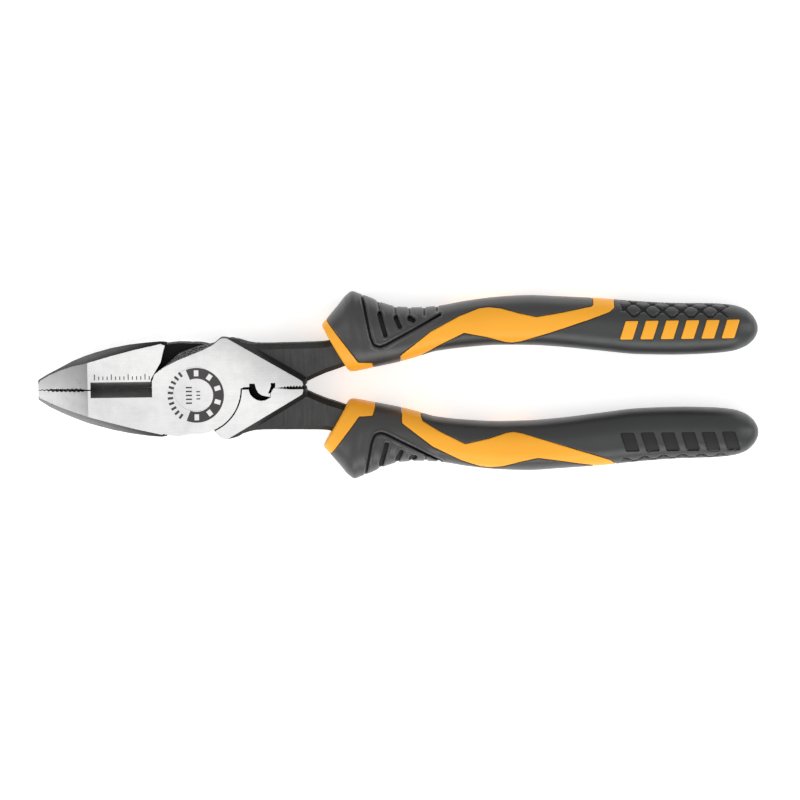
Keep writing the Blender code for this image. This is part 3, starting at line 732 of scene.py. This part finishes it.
def graded_steel(name):
    """Satin steel of the jaws' sides, with painted shade: darkening towards the joint, and darker on the upper jaw's
    side.
    """
    m, nodes, links, shader = new_material(name)
    v = coordinates(nodes, links)
    split = nodes.new("ShaderNodeSeparateXYZ")
    links.new(v, split.inputs[0])
    # painted shade along the jaw: lighter at the nose, darkening towards the joint
    place = nodes.new("ShaderNodeMapRange")
    place.inputs["From Min"].default_value = -0.121
    place.inputs["From Max"].default_value = -0.078
    links.new(split.outputs[0], place.inputs["Value"])
    tone = ramp(nodes, links, place.outputs["Result"], [(0.0, grey(0.25)), (0.4, grey(0.2)), (0.72, grey(0.10)), (0.9, grey(0.03)), (1.0, grey(0.012))])
    # painted shade: the upper jaw's side (positive Y) darker, as it faces away from the light
    across = nodes.new("ShaderNodeMapRange")
    across.inputs["From Min"].default_value = -0.002
    across.inputs["From Max"].default_value = 0.002
    links.new(split.outputs[1], across.inputs["Value"])
    tone = mixed(nodes, links, 1.0, tone, ramp(nodes, links, across.outputs["Result"], [(0.0, grey(1.0)), (1.0, grey(0.45))]), "MULTIPLY")
    mottle = ramp(nodes, links, noise(nodes, links, v, 700.0, 4.0, 0.6), [(0.3, grey(0.88)), (0.7, grey(1.0))])
    links.new(mixed(nodes, links, 1.0, tone, mottle, "MULTIPLY"), shader.inputs["Base Color"])
    shader.inputs["Metallic"].default_value = 0.75
    r = ramp(nodes, links, noise(nodes, links, v, 300.0, 3.0, 0.5), [(0.3, grey(0.36)), (0.7, grey(0.46))])
    links.new(r, shader.inputs["Roughness"])
    bumped(nodes, links, shader, noise(nodes, links, v, 2400.0, 3.0, 0.6), 0.000012, 0.6)
    return m


def nose_steel(name):
    """Ground steel of the blunt nose, with a painted reflection that darkens it towards the knives, and painted shade
    on the upper jaw's nose.
    """
    m, nodes, links, shader = new_material(name)
    v = coordinates(nodes, links)
    split = nodes.new("ShaderNodeSeparateXYZ")
    links.new(v, split.inputs[0])
    place = nodes.new("ShaderNodeMapRange")
    place.inputs["From Min"].default_value = -0.120
    place.inputs["From Max"].default_value = -0.1033
    links.new(split.outputs[0], place.inputs["Value"])
    across = nodes.new("ShaderNodeMapRange")
    across.inputs["From Min"].default_value = -0.002
    across.inputs["From Max"].default_value = 0.008
    links.new(split.outputs[1], across.inputs["Value"])
    # painted reflection along the nose, lightest at the tip; painted shade across it, darker on the upper jaw
    # (positive Y)
    tone = ramp(nodes, links, place.outputs["Result"], [(0.0, grey(0.97)), (0.45, grey(0.88)), (0.8, grey(0.7)), (1.0, grey(0.52))])
    shade = ramp(nodes, links, across.outputs["Result"], [(0.0, grey(1.0)), (0.3, grey(0.82)), (1.0, grey(0.62))])
    lines = noise(nodes, links, coordinates(nodes, links, (4200, 60, 60)), 1.0, 4.0, 0.6)
    fine = ramp(nodes, links, lines, [(0.3, grey(0.93)), (0.7, grey(1.0))])
    colour = mixed(nodes, links, 1.0, mixed(nodes, links, 1.0, tone, shade, "MULTIPLY"), fine, "MULTIPLY")
    links.new(colour, shader.inputs["Base Color"])
    shader.inputs["Metallic"].default_value = 1.0
    r = ramp(nodes, links, noise(nodes, links, v, 320.0, 4.0, 0.65), [(0.3, grey(0.26)), (0.75, grey(0.38))])
    links.new(r, shader.inputs["Roughness"])
    bumped(nodes, links, shader, lines, 0.000004, 0.6)
    return m


# the ground faces of the halves carry the painted reflection shade
POLISHED = ground_steel("ground_steel", "X", 0.70, shaded=True)
NOSE = nose_steel("nose_steel")
OXIDE = dark_oxide("dark_forged_steel", 0.045, 0.44, streak=0.22)
# a darker, matte copy of the oxide: painted shade on the forgings' side walls, recesses and bore
SHADE_OXIDE = dark_oxide("dark_forged_painted_shade", 0.013, 0.55, 0.0, 0.2)
# the jaws' sides, with a painted shade gradient
SATIN = graded_steel("satin_jaw_side")
BEVEL = dark_oxide("cutter_bevel", 0.4, 0.34, 0.8)
SHOULDER_STEEL = dark_oxide("shoulder_bevel", 0.17, 0.4)
RIVET = ground_steel("rivet_steel", "X", 0.68)
ORANGE = moulded("orange_plastic", (1.0, 0.43, 0.022), 0.42, 0.00001, 0.03, spec=0.4)
CHARCOAL = moulded("charcoal_rubber", (0.029, 0.030, 0.031), 0.37, 0.000022, 0.10, spec=0.6)
BROWNED = moulded("guard_rubber", (0.038, 0.0355, 0.035), 0.36, 0.000022, 0.10, spec=0.65)
# a darker copy of the rubber: painted shade on the floors of grooves and recessed bars
SHADED = moulded("rubber_painted_groove_shade", (0.019, 0.019, 0.020), 0.6, 0.000022, 0.10, spec=0.3)
INK = moulded("etched_dark", (0.072, 0.068, 0.068), 0.6, 0.000004, 0.08, spec=0.2)


# --------------------------------------------------------------- the pieces
def grid_head():
    return (
        spaced((-53.2, 36.6, FINE), (36.6, 62.0, FINE * 1.6), (62.0, 167.0, 3.0)),
        spaced((-16.6, 26.4, FINE)),
        spaced((-8.6, 8.6, FINE)),
    )


def grid_grip(x0, x1, step=FINE):
    return (
        spaced((x0, x1, step)),
        spaced((1.8, 32.2, step)),
        spaced((-10.6, 10.6, step)),
    )


def quad_normals(points, quads):
    a, b, c, d = (points[quads[:, k]] for k in range(4))
    n = np.cross(c - a, d - b)
    return n / np.maximum(np.linalg.norm(n, axis=1), 1e-12)[:, None]


def largest(quads, n):
    label = bodies_of(quads, n)
    values, counts = np.unique(label, return_counts=True)
    return label == values[counts.argmax()]


HALVES = (
    ("upper", "upper_handle_half", False, True),
    ("lower", "lower_handle_half", True, False),
)


def forged_finish(centre, normal):
    """Material of each face: 0 ground, 1 oxide, 2 oxide darkened as painted shade, 3 satin, 4 bevel, 5 shoulder, 6
    nose.
    """
    x, y, z = centre.T
    az, yj, nz = np.abs(z), -y, np.abs(normal[:, 2])
    r = np.hypot(x, y)
    # faces not given another finish below, the side walls and recesses, get the painted shade
    slot = np.full(len(x), 2)
    slot[(x > 12.0) & (nz > 0.9) & (az > 3.5) & (az < NECK_H + 0.3)] = 1
    jaw = (x < -9.5) & (yj > 0)
    slot[jaw & (normal[:, 1] < 0.1) & (nz < 0.97) & (az < 7.98) & (normal[:, 0] < 0.6)] = 3
    slot[jaw & (x > KNIFE_X[0]) & (x < KNIFE_X[1]) & (yj < KNIFE_Y + 0.02) & (nz < 0.9)] = 4
    slot[(x < 9.5) & (x > -14.5) & (y > 2.0) & (z > 3.0) & (nz > 0.3) & (nz < 0.8)] = 5
    flat = (nz > np.where(x < NOSE_X, 0.94, 0.962)) & (az > 4.7) & ((x < -9.0) & (yj > 0) | (az > 7.8))
    slot[flat] = 0
    slot[flat & (x < NOSE_X - 0.1) & (az < 7.995)] = 6
    # the walls of the bore get the painted shade too
    slot[(r < 8.6) & (nz < 0.5)] = 2
    return slot


def faces_of(mesh, turned):
    """The centres and normals of a mesh's faces, in the half's own coordinates."""
    found = []
    for what in ("center", "normal"):
        values = np.empty(len(mesh.polygons) * 3, np.float32)
        mesh.polygons.foreach_get(what, values)
        found.append(values.reshape(-1, 3).astype(float))
    found[0] = found[0] / MM - np.array(PIVOT)
    if turned:
        for values in found:
            values[:, 1:] *= -1
    return found


for side, body, turned, near in HALVES:
    xs, ys, zs = grid_head()
    points, quads = contour(lambda x, y, z, near=near: forging(x, y, z, near), xs, ys, zs)
    keep = largest(quads, len(points))
    obj = mesh_object(f"{side}_forged_half", points, quads, turned, keep)
    finish_piece(
        obj, body, [POLISHED, OXIDE, SHADE_OXIDE, SATIN, BEVEL, SHOULDER_STEEL, NOSE],
        (f"{side}_handle_forging",), "forged_steel", 24.0,
    )
    obj.data.polygons.foreach_set("material_index", forged_finish(*faces_of(obj.data, turned)).astype(np.int32))
    obj.data.update()


def one_side(points, quads, behind):
    """The largest body in front of the stripe, or behind it."""
    label = bodies_of(quads, len(points))
    best, found = None, 500
    for v, c in zip(*np.unique(label, return_counts=True)):
        if c > found and (points[quads[label == v]][:, :, 0].mean() >= 100.0) == behind:
            best, found = v, c
    return label == best


for part, field, span, colour, node, slot in (
    ("orange", core, (38.9, 141.5), ORANGE, "grip_core", "orange_plastic"),
    ("guard", guard, (40.0, 136.0), BROWNED, "guard_cover", "charcoal_rubber"),
    ("end", end_cover, (71.0, 188.2), CHARCOAL, "end_cover", "charcoal_rubber"),
):
    xs, ys, zs = grid_grip(*span, FINE if part == "guard" else FINE * 1.25)
    points, quads = contour(field, xs, ys, zs)
    keep = largest(quads, len(points)) if part == "orange" else one_side(points, quads, part == "end")
    for side, body, turned, near in HALVES:
        obj = mesh_object(f"{side}_grip_{part}", points, quads, turned, keep)
        finish_piece(obj, body, [colour] if part == "orange" else [colour, SHADED], (f"{side}_handle_{node}",), slot, 38.0)
        if part != "orange":
            # painted shade: the floors of the moulded grooves and of the recessed bars get the darker rubber
            (x, y, z), _ = (v.T for v in faces_of(obj.data, turned))
            painted_shade_in_grooves = grip_skin(x, y, z) < -0.38
            obj.data.polygons.foreach_set("material_index", painted_shade_in_grooves.astype(np.int32))
            obj.data.update()

for side, body, turned, near in HALVES:
    if near:
        xs, ys, zs = spaced((139.5, 182.5, FINE * 0.8)), spaced((12.5, 22.0, FINE * 0.8)), spaced((4.0, 10.4, FINE * 0.8))
        points, quads = contour(inlay, xs, ys, zs)
        obj = mesh_object(f"{side}_grip_raised_bars", points, quads, turned)
        finish_piece(obj, body, [ORANGE], (), "orange_plastic", 35.0)


def rivet_field(x, y, z):
    r = np.sqrt(x * x + y * y)
    az = np.abs(z)
    shank = np.maximum(r - 5.5, az - 7.5)
    return np.minimum(shank, np.maximum(np.maximum(r - 7.36, az - 8.0), 6.4 - az))


axis = spaced((-8.1, 8.1, FINE))
points, quads = contour(rivet_field, axis, axis, spaced((-8.5, 8.5, FINE)))
obj = mesh_object("joint_rivet", points, quads)
finish_piece(obj, "upper_handle_half", [RIVET], ("pivot_rivet",), "rivet_steel", 30.0)


# ------------------------------------------------------------- etched marks
def plates(name, outlines, low, high, material, body):
    """Flat raised or etched shapes on the upper face, one closed solid each."""
    verts, faces = [], []
    for outline in outlines:
        n, base = len(outline), len(verts)
        for z in (low, high):
            verts += [tuple(c * MM for c in (x + PIVOT[0], y + PIVOT[1], z + PIVOT[2])) for x, y in outline]
        faces.append([base + n + k for k in range(n)])
        faces.append([base + k for k in range(n)][::-1])
        faces += [[base + k, base + (k + 1) % n, base + n + (k + 1) % n, base + n + k] for k in range(n)]
    mesh = bpy.data.meshes.new(name)
    mesh.from_pydata(verts, [], faces)
    mesh.update()
    obj = bpy.data.objects.new(name, mesh)
    scene.collection.objects.link(obj)
    mesh.materials.append(material)
    mesh.set_sharp_from_angle(angle=0.5)
    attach(obj, body)
    return obj


scene = bpy.context.scene
RING = (0.3, -2.1)


def sector(inner, outer, start, end, step=4.0):
    n = max(2, round(abs(end - start) / step))
    return arc(outer, start, end, n, RING) + arc(inner, end, start, n, RING)


def bar(cx, cy, length, width, angle):
    c, s = math.cos(math.radians(angle)), math.sin(math.radians(angle))
    return [(cx + c * u - s * v, cy + s * u + c * v) for u, v in ((-length / 2, -width / 2), (length / 2, -width / 2), (length / 2, width / 2), (-length / 2, width / 2))]


band = [sector(5.55, 9.15, -112, 112)]
plates("etched_band", band, 7.9, 8.02, INK, "upper_handle_half")
# bright lozenges left in the band, and plain dashes round the rest of the circle
spots = []
for k in range(6):
    a = -90 + 36 * k
    cx, cy = RING[0] + 7.35 * math.cos(math.radians(a)), RING[1] + 7.35 * math.sin(math.radians(a))
    spots.append(bar(cx, cy, 2.0, 1.5, a))
plates("etched_band_lozenges", spots, 7.9, 8.03, POLISHED, "upper_handle_half")
dashes = []
for k in range(10):
    a = 127 + 106 * k / 9
    cx, cy = RING[0] + 8.7 * math.cos(math.radians(a)), RING[1] + 8.7 * math.sin(math.radians(a))
    dashes.append(bar(cx, cy, 1.8, 0.8, a))
for k in range(5):
    dashes.append(bar(RING[0] - 2.5 + 0.0 * k, RING[1] + 2.6 - 1.3 * k, 2.0, 0.5, 0.0))
for k in range(3):
    dashes.append(bar(RING[0] + 0.6, RING[1] + 1.2 - 1.2 * k, 1.3, 0.4, 0.0))
plates("etched_dashes", dashes, 7.9, 8.02, INK, "upper_handle_half")
ticks = []
for k in range(14):
    x = -33.5 + 1.4 * k
    long = 1.9 if k % 4 == 0 else 1.2
    ticks.append(bar(x, 3.35 + long / 2, 0.32, long, 0.0))
plates("cutter_scale_ticks", ticks, 7.9, 8.02, INK, "lower_handle_half")

# ------------------------------------------------------------ floor and light
floor_mesh = bpy.data.meshes.new("floor")
f = 3.0
floor_mesh.from_pydata([(-f, -f, 0), (f, -f, 0), (f, f, 0), (-f, f, 0)], [], [(0, 1, 2, 3)])
floor = bpy.data.objects.new("floor", floor_mesh)
bpy.context.scene.collection.objects.link(floor)
m, nodes, links, shader = new_material("pale_floor")
shader.inputs["Base Color"].default_value = (0.93, 0.93, 0.93, 1.0)
shader.inputs["Roughness"].default_value = 0.9
shader.inputs["Specular IOR Level"].default_value = 0.1
shader.inputs["Emission Color"].default_value = (1.0, 1.0, 1.0, 1.0)
shader.inputs["Emission Strength"].default_value = 0.5
floor_mesh.materials.append(m)

world = bpy.data.worlds.new("studio")
world.use_nodes = True
world.node_tree.nodes["Background"].inputs["Color"].default_value = (1.0, 1.0, 1.0, 1.0)
world.node_tree.nodes["Background"].inputs["Strength"].default_value = 0.6
scene.world = world


def soft_light(name, at, width, depth, level, aim=(0.0, 0.0, 0.01)):
    """A softbox of this radiance, width along the bench and depth across it."""
    data = bpy.data.lights.new(name, "AREA")
    data.shape, data.size, data.size_y = "RECTANGLE", width, depth
    data.energy = level * math.pi * width * depth
    obj = bpy.data.objects.new(name, data)
    obj.location = at
    obj.rotation_euler = (Vector(aim) - Vector(at)).to_track_quat("-Z", "Y").to_euler()
    scene.collection.objects.link(obj)
    return obj


soft_light("overhead", (-0.18, -0.25, 2.4), 1.5, 1.1, 0.78, (-0.1, -0.05, 0.0))
soft_light("front", (0.0, -1.5, 1.0), 2.2, 0.9, 2.2)
soft_light("left", (-1.6, -0.3, 0.75), 0.6, 1.2, 2.6)
soft_light("right", (1.5, 0.1, 0.9), 0.6, 1.2, 2.3)

TILT, ROLL = math.radians(5.5), math.radians(0.73)
aim = Vector((0.00046, -0.0053, 0.010))
back = Vector((0.0, math.sin(TILT), math.cos(TILT)))
right = Vector((1.0, 0.0, 0.0))
up = back.cross(right)
right, up = right * math.cos(ROLL) - up * math.sin(ROLL), up * math.cos(ROLL) + right * math.sin(ROLL)
camera_data = bpy.data.cameras.new("camera")
camera_data.sensor_width = 36.0
camera_data.lens = 215.4
camera_data.clip_start, camera_data.clip_end = 0.1, 20.0
camera = bpy.data.objects.new("camera", camera_data)
basis = Matrix((right, up, back)).transposed()
camera.matrix_world = Matrix.Translation(aim + back * 1.6) @ basis.to_4x4()
scene.collection.objects.link(camera)
scene.camera = camera
scene.view_settings.view_transform = "Standard"
